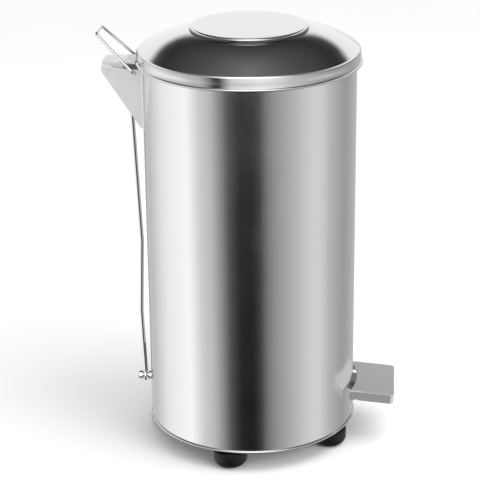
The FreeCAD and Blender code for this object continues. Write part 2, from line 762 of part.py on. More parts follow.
def make_rear_bracket():
    profile = extrude(new_body("bracket_profile"), "YZ_Plane", [
        ("shell_radius - cut_margin", "bracket_bottom"), ("shell_radius", "bracket_bottom"),
        ("bracket_back", "bracket_shoulder"), ("bracket_back", "bracket_ear_top - bracket_corner"),
        ("bracket_back - bracket_corner", "bracket_ear_top"),
        ("bracket_back - bracket_ear_depth", "bracket_ear_top"),
        ("bracket_back - bracket_ear_depth - bracket_ear", "bracket_top"),
        ("shell_radius - cut_margin", "bracket_top")], "4 * bracket_front")
    outside = tapered_box("bracket_outside", "bracket_front", "bracket_rear",
                          "bracket_bottom - cut_margin", "bracket_ear_top + cut_margin")
    room = extrude(new_body("bracket_room"), "YZ_Plane", [
        ("shell_radius - 2 * cut_margin - bracket_web_inset", "bracket_bottom"),
        ("shell_radius - bracket_web_inset", "bracket_bottom"),
        ("bracket_web_edge - bracket_web_inset", "bracket_web_top"),
        ("bracket_back + cut_margin", "bracket_web_top"),
        ("bracket_back + cut_margin", "bracket_ear_top + cut_margin"),
        ("shell_radius - 2 * cut_margin - bracket_web_inset", "bracket_ear_top + cut_margin")],
        "4 * bracket_front")
    inside = tapered_box("bracket_inside", "bracket_front - bracket_wall", "bracket_rear - bracket_wall",
                         "bracket_bottom - cut_margin", "bracket_ear_top + 3 * cut_margin")
    shell_space = cylinder("bracket_shell_space", "shell_radius", "shell_top")
    folded = cut("bracket_folded", common("bracket_blank", profile, outside),
                 common("bracket_hollow", room, inside), shell_space)
    ring = cylinder("bracket_flange_ring", "shell_radius + bracket_flange_wall", "bracket_height",
                    z="bracket_bottom")
    strip = flange_box("bracket_flange_strip", "bracket_front + bracket_flange")
    gap = flange_box("bracket_flange_gap", "bracket_front - bracket_wall")
    flanges = cut("bracket_flanges", common("bracket_flange_blank", ring, strip),
                  cylinder("bracket_flange_core", "shell_radius", "shell_top"), gap)
    rod_slot = box("bracket_rod_slot", "-bracket_slot_half", "bracket_slot_front", "bracket_bottom",
                   "2 * bracket_slot_half", "bracket_slot_length", "bracket_web_top - bracket_bottom")
    pin_bore = across("bracket_pin_bore", "hinge_bore", "4 * bracket_front", "hinge_back", "hinge_height")
    bail_bore = across("bracket_bail_bore", "bail_wire + bail_fit", "4 * bracket_front",
                       "bail_back", "bail_height")
    cut("rear_bracket", fuse("bracket_welded", folded, flanges), rod_slot, pin_bore, bail_bore)


def flange_box(name, half):
    """A block as high as the bracket, which reaches back past the shell's rear wall."""
    return box(name, f"-({half})", "shell_radius / 2", "bracket_bottom", f"2 * ({half})", "shell_radius",
               "bracket_height")


def make_hinge_pin():
    shank = across("hinge_pin_shank", "hinge_pin_radius",
                   "2 * hinge_cheek + clip_gap + clip_height + hinge_end",
                   "hinge_back", "hinge_height", "-hinge_cheek")
    head = across("hinge_pin_head", "hinge_head_radius", "hinge_head",
                  "hinge_back", "hinge_height", "-(hinge_cheek + hinge_head)")
    fuse("hinge_pin", shank, head)
    retaining_clip("hinge_clip", "hinge_pin_radius + clip_rim", "hinge_pin_radius",
                   "hinge_back", "hinge_height", "hinge_cheek + clip_gap")


def make_lid():
    spin(new_body("lid_shell"), [
        ("lid_inside", "lip_bottom"), ("lip_radius - lip_round", "lip_bottom", "lip_round"),
        ("lip_radius", "lip_bottom + lip_round"), ("lip_radius", "lip_top - lip_round", "lip_round"),
        ("lip_radius - lip_round", "lip_top"), ("lid_radius", "lip_top"),
        ("lid_radius", "lid_shoulder", "shoulder_round"),
        ("dome_start_radius", "dome_start_height", "dome_round"),
        ("disc_radius", "disc_base"), ("disc_radius", "disc_top - disc_round", "disc_round"),
        ("disc_radius - disc_round", "disc_top"), ("0", "disc_top"), ("0", "disc_top - lid_wall"),
        ("disc_radius - disc_round", "disc_top - lid_wall", "-(disc_round - lid_wall)"),
        ("disc_radius - lid_wall", "disc_top - disc_round"),
        ("disc_radius - lid_wall", "disc_base - lid_wall", "-(dome_round - lid_wall)"),
        ("dome_start_radius - lid_wall * sin(shoulder_tilt)",
         "dome_start_height - lid_wall * cos(shoulder_tilt)", "-(shoulder_round - lid_wall)"),
        ("lid_inside", "lid_shoulder")])


def make_lid_arm():
    profile = extrude(new_body("arm_profile"), "YZ_Plane", [
        ("shell_radius - cut_margin", "arm_underside"), ("arm_flange_front", "arm_underside"),
        ("arm_flange_front + arm_toe", "arm_flange_bottom"), ("arm_back", "arm_flange_bottom"),
        ("arm_back", "arm_top"), ("shell_radius - cut_margin", "arm_top")], "4 * arm_front")
    outside = tapered_box("arm_outside", "arm_front", "arm_rear",
                          "arm_flange_bottom - cut_margin", "arm_top + cut_margin")
    inside = tapered_box("arm_inside", "arm_front - arm_wall", "arm_rear - arm_wall",
                         "arm_flange_bottom - 2 * cut_margin", "arm_underside")
    lid_space = cylinder("arm_lid_space", "arm_collar_inside", "shell_top")
    folded = cut("arm_folded", common("arm_blank", profile, outside), inside, lid_space)
    collar = spin(new_body("arm_collar"), [
        ("arm_collar_inside", "arm_underside"), ("arm_collar_inside + arm_wall", "arm_underside"),
        ("arm_collar_inside + arm_wall", "arm_over_lid_lip + arm_wall"),
        ("lid_radius + arm_wall", "arm_over_lid_lip + arm_wall"), ("lid_radius + arm_wall", "arm_tab_top"),
        ("lid_radius", "arm_tab_top"), ("lid_radius", "arm_over_lid_lip"),
        ("arm_collar_inside", "arm_over_lid_lip")])
    window = box("arm_collar_window", "-(arm_front - arm_tab_inset)", "shell_radius / 2", "arm_flange_bottom",
                 "2 * (arm_front - arm_tab_inset)", "shell_radius", "arm_tab_top")
    bore = across("arm_pin_bore", "hinge_bore", "4 * arm_front", "hinge_back", "hinge_height")
    cut("lid_arm", fuse("arm_welded", folded, common("arm_tab", collar, window)), bore)


def lug_point(reach, aside):
    """A point of the lug's side view: so far from the hinge along the slot, and so far above it."""
    return (f"-({reach}) * cos(lug_tilt) - ({aside}) * sin(lug_tilt)",
            f"-({reach}) * sin(lug_tilt) + ({aside}) * cos(lug_tilt)")


def make_rod_lug():
    blade = extrude(new_body("lug_blade"), "YZ_Plane", [
        lug_point("lug_root", "-lug_half"), lug_point("lug_root", "lug_half"),
        lug_point("lug_reach - lug_half / 2", "lug_half"), lug_point("lug_reach", "lug_half / 2"),
        lug_point("lug_reach", "-lug_half / 2"), lug_point("lug_reach - lug_half / 2", "-lug_half")],
        "lug_wall")
    place(blade, "lug_inner + lug_wall / 2", "hinge_back", "hinge_height")
    neck = box("lug_neck", "lug_inner", "hinge_back - lug_neck_ahead", "hinge_height - lug_neck_drop",
               "lug_wall", "lug_neck_length", "arm_underside - hinge_height + lug_neck_drop")
    ends = []
    for name, reach in (("near", "lug_slot_near_end"), ("far", "lug_slot_far_end")):
        back, height = lug_point(reach, "0")
        ends.append(across(f"lug_slot_{name}", "lug_slot_half", "4 * lug_inner",
                           f"hinge_back + {back}", f"hinge_height + {height}"))
    middle = extrude(new_body("lug_slot_middle"), "YZ_Plane", [
        lug_point("lug_slot_near_end", "-lug_slot_half"), lug_point("lug_slot_near_end", "lug_slot_half"),
        lug_point("lug_slot_far_end", "lug_slot_half"), lug_point("lug_slot_far_end", "-lug_slot_half")],
        "4 * lug_inner")
    place(middle, "0", "hinge_back", "hinge_height")
    cut("rod_lug", fuse("lug_blank", blade, neck), middle, *ends)


def make_carry_bail():
    back, height = value("bail_back"), value("bail_height")
    tip_back, tip_height = value("bail_back + bail_reach"), value("bail_height + bail_rise")
    half, tip, grip = value("bail_half_width"), value("bail_tip_half_width"), value("bail_grip")
    points = [V(-grip, back, height), V(-half, back, height), V(-tip, tip_back, tip_height),
              V(tip, tip_back, tip_height), V(half, back, height), V(grip, back, height)]
    bends = [value("bail_bend")] * (len(points) - 2)
    held_shape("carry_bail", wire_form(wire_route(points, bends), value("bail_wire")))


def make_bucket():
    skin = spin(new_body("bucket_skin"), [
        ("0", "bucket_bottom"), ("bucket_radius - bucket_round", "bucket_bottom", "bucket_round"),
        ("bucket_radius", "bucket_bottom + bucket_round"), ("bucket_radius", "shell_top"),
        ("bucket_rim_radius", "shell_top"), ("bucket_rim_radius", "bucket_rim_top"),
        ("bucket_inside", "bucket_rim_top"),
        ("bucket_inside", "bucket_bottom + bucket_round", "-(bucket_round - bucket_wall)"),
        ("bucket_radius - bucket_round", "bucket_bottom + bucket_wall"),
        ("0", "bucket_bottom + bucket_wall")])
    holes = [across("bucket_handle_holes", "handle_wire + handle_fit", "3 * bucket_radius", "0",
                    "handle_height")]
    rivets = []
    for name, angle in (("left_front", "-90 + ear_rivet_spread"), ("left_rear", "-90 - ear_rivet_spread"),
                        ("right_front", "90 - ear_rivet_spread"), ("right_rear", "90 + ear_rivet_spread")):
        holes.append(radial(f"bucket_rivet_hole_{name}", "ear_rivet_radius", angle,
                            "ear_inside - cut_margin", "3 * cut_margin"))
        shank = radial(f"bucket_rivet_shank_{name}", "ear_rivet_radius", angle, "ear_inside - ear_rivet_gap",
                       "bucket_wall + ear_wall + 2 * ear_rivet_gap")
        inner = radial(f"bucket_rivet_inner_{name}", "ear_rivet_head_radius", angle,
                       "ear_inside - ear_rivet_gap - ear_rivet_head", "ear_rivet_head")
        outer = radial(f"bucket_rivet_outer_{name}", "ear_rivet_head_radius", angle,
                       "bucket_radius + ear_rivet_gap", "ear_rivet_head")
        rivets.append(fuse(f"bucket_rivet_{name}", shank, inner, outer))
    drill = fuse("bucket_drill", *holes)
    cut("inner_bucket", skin, drill)
    group("bucket_rivets", rivets)
    make_bucket_ears(drill)


def radial(name, radius, angle, start, length):
    """A cylinder that points away from the axis at the handle's height, at an angle from the front."""
    rod = bind(add("Part::Cylinder", name), Radius=radius, Height=length)
    outward = FreeCAD.Rotation(V(0, 0, 1), V(value(f"sin({angle})"), value(f"-cos({angle})"), 0))
    rod.Placement = FreeCAD.Placement(V(0, 0, 0), outward)
    return place(rod, f"({start}) * sin({angle})", f"-({start}) * cos({angle})", "handle_height")


def make_bucket_ears(drill):
    outside = cylinder("ear_outer_face", "bucket_inside", "ear_height", z="ear_bottom")
    inside = cylinder("ear_inner_face", "ear_inside", "ear_height", z="ear_bottom")
    ring = cut("ear_ring", outside, inside)
    for side, start in (("left", "-(bucket_radius + cut_margin)"), ("right", "0")):
        window = box(f"ear_window_{side}", start, "-(ear_width / 2 + ear_rivet_reach)", "ear_bottom",
                     "bucket_radius + cut_margin", "ear_width + 2 * ear_rivet_reach", "ear_height")
        cut(f"bucket_ear_{side}", common(f"ear_blank_{side}", ring, window), drill)


def make_bucket_handle():
    """A half hoop that hangs inside the bucket from the two ears."""
    half, bend, end = value("handle_half_width"), value("handle_bend"), value("handle_end")
    height = value("handle_height")
    down = V(0, 0, -2 * bend)
    left, right = V(-half, 0, height), V(half, 0, height)
    left_hook = wire_route([V(-end, 0, height), left, left + down], [bend])[:2]
    right_hook = wire_route([right + down, right, V(end, 0, height)], [bend])[1:]
    bow = Part.Arc(left + down / 2, V(0, 0, height - bend - half), right + down / 2).toShape()
    held_shape("bucket_handle", wire_form(left_hook + [bow] + right_hook, value("handle_wire")))


NODES = ["outer_shell", "base_plate", "foot_1", "foot_2", "foot_3", "foot_4", "foot_5", "foot_screws",
         "foot_nuts", "pivot_clevis", "clevis_rivets", "lever_axle", "axle_clips", "lever_bush_left",
         "lever_bush_right", "pedal_lever", "pedal_tread", "tail_stud", "tail_nuts", "tail_washers",
         "push_rod", "rod_clip", "rear_bracket", "hinge_pin", "hinge_clip", "lid_shell", "lid_arm",
         "rod_lug", "carry_bail", "inner_bucket", "bucket_ear_left", "bucket_ear_right",
         "bucket_rivets", "bucket_handle"]


def make_everything():
    fill_sheet()
    make_outer_shell()
    make_base_plate()
    make_feet()
    make_foot_fasteners()
    make_pivot_clevis()
    make_axle()
    make_lever_bushes()
    make_lever()
    make_tread()
    make_tail_stud()
    make_push_rod()
    make_rear_bracket()
    make_hinge_pin()
    make_lid()
    make_lid_arm()
    make_rod_lug()
    make_carry_bail()
    make_bucket()
    make_bucket_handle()
    doc.recompute()


def check():
    """Stop if the document failed anywhere, or if a sub-part has no sound solid."""
    for thing in doc.Objects:
        bad = {"Invalid", "Error"} & set(thing.State)
        if bad:
            raise RuntimeError(f"{thing.Label} is {sorted(bad)}")
    for name in NODES:
        shape = part_named(name).Shape
        if shape.isNull() or not shape.isValid() or not shape.Solids:
            raise RuntimeError(f"{name} has no sound solid")


def part_named(name):
    return doc.getObjectsByLabel(name)[0]


def export():
    os.makedirs("parts", exist_ok=True)
    for name in NODES:
        part_named(name).Shape.exportStep(f"parts/{name}.step")


make_everything()
check()
export()
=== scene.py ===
"""Looks for the pedal trash can: steel sheet, wire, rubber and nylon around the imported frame."""

import json
import math

import bmesh
import bpy
from mathutils import Matrix, Quaternion, Vector


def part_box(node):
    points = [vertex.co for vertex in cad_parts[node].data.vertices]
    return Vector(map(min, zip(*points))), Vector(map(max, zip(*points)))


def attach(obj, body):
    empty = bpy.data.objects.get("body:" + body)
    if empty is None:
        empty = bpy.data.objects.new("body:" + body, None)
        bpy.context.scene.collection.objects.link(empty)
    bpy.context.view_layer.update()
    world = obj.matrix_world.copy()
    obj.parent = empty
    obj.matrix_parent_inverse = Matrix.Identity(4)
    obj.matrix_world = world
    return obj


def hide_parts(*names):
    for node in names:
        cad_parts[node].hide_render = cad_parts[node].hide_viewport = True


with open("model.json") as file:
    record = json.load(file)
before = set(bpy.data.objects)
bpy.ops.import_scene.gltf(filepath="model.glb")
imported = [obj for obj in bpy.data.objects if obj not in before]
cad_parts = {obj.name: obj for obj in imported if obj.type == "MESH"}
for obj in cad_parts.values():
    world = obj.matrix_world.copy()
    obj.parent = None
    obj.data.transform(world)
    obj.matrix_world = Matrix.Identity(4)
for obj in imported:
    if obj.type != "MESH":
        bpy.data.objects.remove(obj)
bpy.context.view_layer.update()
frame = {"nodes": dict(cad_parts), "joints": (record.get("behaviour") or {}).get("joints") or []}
NODES = frame["nodes"]
MM = 0.001
scene = bpy.context.scene

# ---------------------------------------------------------------- camera
CAMERA_PLACE = Vector((-2.3046, -0.1858, 1.19))
CAMERA_LOOK = Vector((0.9293, 0.0813, -0.3603))
CAMERA_ROLL = math.radians(-0.66)
CAMERA_LENS = 128.475


def add_camera():
    data = bpy.data.cameras.new("camera")
    data.lens = CAMERA_LENS
    data.sensor_width = 36
    camera = bpy.data.objects.new("camera", data)
    scene.collection.objects.link(camera)
    turn = CAMERA_LOOK.to_track_quat("-Z", "Y") @ Quaternion((0, 0, 1), CAMERA_ROLL)
    camera.matrix_world = Matrix.Translation(CAMERA_PLACE) @ turn.to_matrix().to_4x4()
    scene.camera = camera


# ---------------------------------------------------------------- mesh helpers
SHARP_ANGLE = 35   # degrees between faces from which an edge shows as an edge
EDGE_ANGLE = 25    # the same for pieces whose edges are rolled over


def arc(start, end, radius, steps=16):
    """Points after start up to end on a circle; a positive radius bulges right of the way."""
    first, last = Vector(start), Vector(end)
    along = last - first
    half = along.length / 2
    rise = math.sqrt(max(radius * radius - half * half, 0))
    right = Vector((along.y, -along.x)).normalized()
    centre = (first + last) / 2 - right * math.copysign(rise, radius)
    begin = math.atan2(*(first - centre).yx)
    sweep = 2 * math.asin(min(half / abs(radius), 1)) * math.copysign(1, radius)
    return [tuple(centre + abs(radius) * Vector((math.cos(begin + sweep * k / steps),
                                                math.sin(begin + sweep * k / steps))))
            for k in range(1, steps + 1)]


def circle_part(centre, radius, begin, end, steps=16):
    """Points on a circle, from one angle in degrees to another."""
    return [(centre[0] + radius * math.cos(math.radians(begin + (end - begin) * k / steps)),
             centre[1] + radius * math.sin(math.radians(begin + (end - begin) * k / steps)))
            for k in range(steps + 1)]


def bend(points, radius, steps):
    """A polyline whose inner corners are rounded; radius is one number or one per corner."""
    radii = radius if isinstance(radius, (list, tuple)) else [radius] * (len(points) - 2)
    points = [Vector(point) for point in points]
    smooth = [points[0]]
    for before, corner, after, size in zip(points, points[1:], points[2:], radii):
        back, on = (before - corner).normalized(), (after - corner).normalized()
        angle = back.angle(on)
        if size == 0 or math.pi - angle < 1e-4:
            smooth.append(corner)
            continue
        trim = size / math.tan(angle / 2)
        centre = corner + (back + on).normalized() * (size / math.sin(angle / 2))
        first = corner + back * trim - centre
        last = corner + on * trim - centre
        span = first.angle(last)
        for k in range(steps + 1):
            t = k / steps
            blend = (math.sin((1 - t) * span) * first + math.sin(t * span) * last) / math.sin(span)
            smooth.append(centre + blend)
    return smooth + [points[-1]]


def new_piece(name, mesh, sharp):
    mesh.polygons.foreach_set("use_smooth", [True] * len(mesh.polygons))
    mesh.set_sharp_from_angle(angle=math.radians(sharp))
    piece = bpy.data.objects.new(name, mesh)
    scene.collection.objects.link(piece)
    return piece


def lathe_mesh(bm, profile, segments, matrix):
    """A closed outline in (radius, height), turned about Z."""
    rings = []
    for radius, height in profile:
        if radius < 1e-7:
            rings.append([bm.verts.new(matrix @ Vector((0, 0, height)))] * segments)
            continue
        rings.append([bm.verts.new(matrix @ Vector((radius * math.sin(2 * math.pi * k / segments),
                                                    -radius * math.cos(2 * math.pi * k / segments),
                                                    height)))
                      for k in range(segments)])
    for low, high in zip(rings, rings[1:] + rings[:1]):
        for k in range(segments):
            following = (k + 1) % segments
            corners = [low[k], low[following], high[following], high[k]]
            corners = [v for n, v in enumerate(corners) if v not in corners[:n]]
            if len(corners) > 2:
                bm.faces.new(corners)


def tube_mesh(bm, path, radius, sides=24, end_round=0.0006):
    """A round wire along a path, with rounded ends."""
    path = [Vector(point) for point in path]
    tangents = [(b - a).normalized() for a, b in zip(path, path[1:])]
    tangents = [tangents[0]] + [(a + b).normalized() for a, b in zip(tangents, tangents[1:])] + [tangents[-1]]
    normal = tangents[0].orthogonal().normalized()
    rings, before = [], tangents[0]
    places = []
    for number, (point, tangent) in enumerate(zip(path, tangents)):
        normal = (before.rotation_difference(tangent) @ normal).normalized()
        before = tangent
        if number == 0:
            places += [(point, tangent, normal, radius - end_round),
                       (point + tangent * end_round, tangent, normal, radius)]
        elif number == len(path) - 1:
            places += [(point - tangent * end_round, tangent, normal, radius),
                       (point, tangent, normal, radius - end_round)]
        else:
            places.append((point, tangent, normal, radius))
    for point, tangent, side, size in places:
        other = tangent.cross(side)
        rings.append([bm.verts.new(point + size * (math.cos(2 * math.pi * k / sides) * side
                                                   + math.sin(2 * math.pi * k / sides) * other))
                      for k in range(sides)])
    for low, high in zip(rings, rings[1:]):
        for k in range(sides):
            bm.faces.new([low[k], low[(k + 1) % sides], high[(k + 1) % sides], high[k]])
    bm.faces.new(rings[0][::-1])
    bm.faces.new(rings[-1])


def finished(bm, name, sharp=SHARP_ANGLE):
    bmesh.ops.recalc_face_normals(bm, faces=bm.faces)
    mesh = bpy.data.meshes.new(name)
    bm.to_mesh(mesh)
    bm.free()
    return new_piece(name, mesh, sharp)


def lathe(name, profile, segments=256, centre=(0, 0, 0), sharp=SHARP_ANGLE):
    bm = bmesh.new()
    lathe_mesh(bm, profile, segments, Matrix.Translation(centre))
    return finished(bm, name, sharp)


def tube(name, path, radius):
    bm = bmesh.new()
    tube_mesh(bm, path, radius)
    return finished(bm, name)


def applied(piece, sharp=SHARP_ANGLE):
    """The piece with its modifiers made real."""
    graph = bpy.context.evaluated_depsgraph_get()
    mesh = bpy.data.meshes.new_from_object(piece.evaluated_get(graph))
    piece.modifiers.clear()
    piece.data = mesh
    if sharp is not None:
        mesh.polygons.foreach_set("use_smooth", [True] * len(mesh.polygons))
        mesh.set_sharp_from_angle(angle=math.radians(sharp))
    return piece


def subtract(piece, cutter):
    bpy.context.view_layer.update()
    modifier = piece.modifiers.new("cut", "BOOLEAN")
    modifier.operation = "DIFFERENCE"
    modifier.solver = "EXACT"
    modifier.object = cutter
    applied(piece)
    bpy.data.objects.remove(cutter)
    return piece


def slot_cutter(half, bottom, top, back, front, corner):
    """A block along Y whose four long edges are rounded."""
    outline = []
    for x, z, begin in ((half, top, 0), (-half, top, 90), (-half, bottom, 180), (half, bottom, 270)):
        for step in range(7):
            angle = math.radians(begin + 15 * step)
            outline.append((x - math.copysign(corner, x) + corner * math.cos(angle),
                            z + (corner if z == bottom else -corner) + corner * math.sin(angle)))
    bm = bmesh.new()
    near = [bm.verts.new((x, back, z)) for x, z in outline]
    far = [bm.verts.new((x, front, z)) for x, z in outline]
    bm.faces.new(near)
    bm.faces.new(far[::-1])
    for k in range(len(outline)):
        following = (k + 1) % len(outline)
        bm.faces.new([near[k], far[k], far[following], near[following]])
    return finished(bm, "cutter")


def rounded_copy(node, width):
    """The node's shape as a new piece, its flat faces merged and its edges rolled over."""
    bm = bmesh.new()
    bm.from_mesh(NODES[node].data)
    bmesh.ops.remove_doubles(bm, verts=bm.verts, dist=2e-6)
    bmesh.ops.dissolve_limit(bm, angle_limit=math.radians(1.0), verts=bm.verts, edges=bm.edges,
                             delimit=set())
    piece = finished(bm, f"{node}_formed", EDGE_ANGLE)
    bevel = piece.modifiers.new("edges", "BEVEL")
    bevel.width = width
    bevel.segments = 3
    bevel.limit_method = "ANGLE"
    bevel.angle_limit = math.radians(SHARP_ANGLE)
    bevel.harden_normals = True
    bevel.use_clamp_overlap = True
    weigh = piece.modifiers.new("normals", "WEIGHTED_NORMAL")
    weigh.weight = 100
    weigh.keep_sharp = True
    return applied(piece, sharp=None)


def dress(piece, body, slot, material, *nodes):
    piece.data.materials.clear()
    piece.data.materials.append(material)
    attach(piece, body)
    if nodes:
        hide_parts(*nodes)
    return piece


# ---------------------------------------------------------------- materials
class Graph:
    """A material's or world's node tree, written as calls."""

    def __init__(self, tree):
        self.tree = tree
        tree.nodes.clear()

    def node(self, kind, inputs=None, **settings):
        node = self.tree.nodes.new(kind)
        for name, setting in settings.items():
            setattr(node, name, setting)
        for name, given in (inputs or {}).items():
            if isinstance(given, bpy.types.NodeSocket):
                self.tree.links.new(given, node.inputs[name])
            else:
                node.inputs[name].default_value = given
        return node

    def math(self, operation, first, second=0.0, third=0.0):
        return self.node("ShaderNodeMath", {0: first, 1: second, 2: third}, operation=operation).outputs[0]

    def ramp(self, factor, stops):
        node = self.node("ShaderNodeValToRGB", {"Fac": factor})
        ramp = node.color_ramp
        while len(ramp.elements) < len(stops):
            ramp.elements.new(0.5)
        for element, (place, level) in zip(ramp.elements, stops):
            element.position = place
            colour = level if isinstance(level, tuple) else (level, level, level)
            element.color = (*colour, 1)
        return node.outputs["Color"]

    def fade(self, value, low, high):
        """0 below low, 1 above high."""
        return self.node("ShaderNodeMapRange", {"Value": value, "From Min": low, "From Max": high}).outputs[0]

    def blend(self, factor, first, second, blend_type="MIX"):
        """A colour mix; the node has one set of sockets for each data type."""
        mix = self.node("ShaderNodeMix", data_type="RGBA", blend_type=blend_type)
        colours = [socket for socket in mix.inputs if socket.type == "RGBA"]
        for socket, given in zip([mix.inputs[0]] + colours, (factor, first, second)):
            if isinstance(given, bpy.types.NodeSocket):
                self.tree.links.new(given, socket)
            else:
                socket.default_value = given
        return next(socket for socket in mix.outputs if socket.type == "RGBA")

    def range(self, value, low, high):
        return self.node("ShaderNodeMapRange", {"Value": value, "To Min": low, "To Max": high}).outputs[0]

    def noise(self, vector, scale, detail=3.0, roughness=0.5):
        return self.node("ShaderNodeTexNoise", {"Vector": vector, "Scale": scale, "Detail": detail,
                                                "Roughness": roughness}).outputs["Fac"]

    def shader(self, inputs):
        principled = self.node("ShaderNodeBsdfPrincipled", inputs)
        self.node("ShaderNodeOutputMaterial", {"Surface": principled.outputs[0]})


def steel(name, colour, roughness, grain="around", fineness=1.0, anisotropy=0.0, bump=0.02, spread=0.05,
          mottle=0.03, metallic=1.0, painted_shade_ring=None, painted_bend_highlight=None):
    """Sheet or wire steel: fine drawn grain, faint handling marks, and, when given, painted shade and a
    painted highlight.

    The grain runs around the Z axis, or along one of the axes x, y and z.  The painted shade ring is a radius
    and
    a height: the steel below that height and near that radius is painted dark, painted shade in the pressed
    corner.
    The painted bend highlight is a half width and a height: bends along Y that far out and that high are
    painted white, a painted highlight.
    """
    material = bpy.data.materials.new(name)
    material.use_nodes = True
    g = Graph(material.node_tree)
    place = g.node("ShaderNodeTexCoord").outputs["Object"]
    x, y, z = g.node("ShaderNodeSeparateXYZ", {0: place}).outputs
    if grain == "around":
        angle = g.math("ARCTAN2", x, g.math("MULTIPLY", y, -1.0))
        long = g.math("MULTIPLY", angle, 1.3)
        across_grain = g.math("SQRT", g.math("ADD", g.math("MULTIPLY", x, x), g.math("MULTIPLY", y, y)))
        streaks = g.node("ShaderNodeCombineXYZ", {0: long, 1: g.math("MULTIPLY", z, 900.0 * fineness),
                                                  2: g.math("MULTIPLY", across_grain, 900.0 * fineness)})
    else:
        fast, slow = 900.0 * fineness, 12.0
        sizes = {axis: slow if axis == grain else fast for axis in "xyz"}
        streaks = g.node("ShaderNodeCombineXYZ", {0: g.math("MULTIPLY", x, sizes["x"]),
                                                  1: g.math("MULTIPLY", y, sizes["y"]),
                                                  2: g.math("MULTIPLY", z, sizes["z"])})
    grain_noise = g.noise(streaks.outputs[0], 1.0, 4.0, 0.65)
    smudge = g.noise(place, 14.0, 4.0, 0.55)
    specks = g.noise(place, 160.0, 2.0, 0.5)
    tone = g.math("ADD", g.range(grain_noise, 1.0 - spread, 1.0 + spread),
                  g.range(smudge, -mottle, mottle))
    base_colour = g.blend(1.0, (*colour, 1), tone, "MULTIPLY")
    # painted shade: a dark colour painted into the steel near a radius and below a height, standing in for
    # shade at the foot of the lid's raised disc
    if painted_shade_ring:
        radius, height = painted_shade_ring
        near = g.math("MULTIPLY", g.fade(across_grain, radius - 4 * MM, radius - 3 * MM),
                      g.fade(across_grain, radius + 2 * MM, radius + 0.4 * MM))
        under = g.math("MULTIPLY", near, g.fade(z, height, height - 1.5 * MM))
        base_colour = g.blend(under, base_colour, (0.12, 0.12, 0.125, 1))
    # painted highlight: the outer top bends are painted white, standing in for the bright reflection along
    # the tread's bends
    if painted_bend_highlight:
        half, height = painted_bend_highlight
        outer = g.fade(g.math("ABSOLUTE", x), half - 2.6 * MM, half - 1.2 * MM)
        painted_highlight_mask = g.math("MULTIPLY", outer, g.fade(z, height - 2.4 * MM, height - 1.2 * MM))
        base_colour = g.blend(painted_highlight_mask, base_colour, (1, 1, 1, 1))
    rough = g.math("ADD", g.math("ADD", g.range(grain_noise, roughness - 0.05, roughness + 0.05),
                                 g.range(smudge, -0.03, 0.05)), g.range(specks, -0.01, 0.01))
    height = g.node("ShaderNodeBump", {"Strength": bump, "Distance": 0.0002, "Height": grain_noise})
    inputs = {"Base Color": base_colour, "Metallic": metallic, "Roughness": rough,
              "Normal": height.outputs[0]}
    if anisotropy:
        tangent = g.node("ShaderNodeTangent", direction_type="RADIAL", axis="Z")
        inputs.update({"Anisotropic": anisotropy, "Anisotropic Rotation": 0.25,
                       "Tangent": tangent.outputs[0]})
    g.shader(inputs)
    return material


def moulded(name, colour, roughness, bump, specular=0.5):
    """Rubber or nylon as it comes from the mould, with dust in the pores."""
    material = bpy.data.materials.new(name)
    material.use_nodes = True
    g = Graph(material.node_tree)
    place = g.node("ShaderNodeTexCoord").outputs["Object"]
    pores = g.noise(place, 900.0, 3.0, 0.6)
    patches = g.noise(place, 45.0, 4.0, 0.6)
    dusty = tuple(min(1.0, c * 1.25 + 0.003) for c in colour)
    tone = g.ramp(patches, [(0.3, colour), (0.75, dusty)])
    rough = g.math("ADD", g.range(patches, roughness - 0.07, roughness + 0.07), g.range(pores, -0.03, 0.03))
    height = g.node("ShaderNodeBump", {"Strength": bump, "Distance": 0.0003, "Height": pores})
    g.shader({"Base Color": tone, "Roughness": rough, "Normal": height.outputs[0],
              "Specular IOR Level": specular, "IOR": 1.5})
    return material


DISC_RADIUS = 82 * MM
SHELL_STEEL = steel("shell_steel", (0.64, 0.64, 0.65), 0.15, "around", 1.0, 0.35)
# the lid steel carries painted shade at the foot of the raised disc
LID_STEEL = steel("lid_steel", (0.68, 0.68, 0.69), 0.1, "around", 1.3, 0.0, bump=0.01, spread=0.03,
                  painted_shade_ring=(DISC_RADIUS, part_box("lid_shell")[1].z - 1.5 * MM))
BUCKET_STEEL = steel("bucket_steel", (0.6, 0.6, 0.61), 0.3, "around", 0.8, 0.4)
BRACKET_STEEL = steel("bracket_steel", (0.85, 0.85, 0.86), 0.36, "z", 0.7, metallic=0.6)
# the tread steel carries a painted highlight along its outer top bends
TREAD_STEEL = steel("tread_steel", (0.74, 0.74, 0.75), 0.3, "x", 0.7, metallic=0.8,
                    painted_bend_highlight=(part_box("pedal_tread")[1].x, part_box("pedal_tread")[1].z))
LEVER_STEEL = steel("lever_steel", (0.5, 0.5, 0.51), 0.38, "y", 0.5, bump=0.04)
BASE_STEEL = steel("base_steel", (0.5, 0.5, 0.51), 0.42, "x", 0.5, bump=0.04)
WIRE_STEEL = steel("wire_steel", (0.7, 0.7, 0.71), 0.1, "z", 0.6, bump=0.015)
FIXING_STEEL = steel("fixing_steel", (0.6, 0.6, 0.6), 0.17, "around", 0.5, bump=0.05, mottle=0.06)
RUBBER = moulded("rubber", (0.004, 0.004, 0.0045), 0.38, 0.12, specular=0.22)
NYLON = moulded("nylon", (0.72, 0.71, 0.67), 0.45, 0.1)

# ---------------------------------------------------------------- sizes taken from the frame
shell_low, shell_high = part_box("outer_shell")
lid_low, lid_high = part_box("lid_shell")
JOINTS = {joint["name"]: joint for joint in frame["joints"]}
PIVOT_HEIGHT = JOINTS["pedal_hinge"]["pos_m"][2]
MOUTH_BEAD, FOOT_BEAD, SHELL_WALL = 2.5 * MM, 2 * MM, 1 * MM
SHELL_RADIUS = shell_high.x - MOUTH_BEAD
SHELL_BOTTOM, SHELL_TOP = shell_low.z, shell_high.z

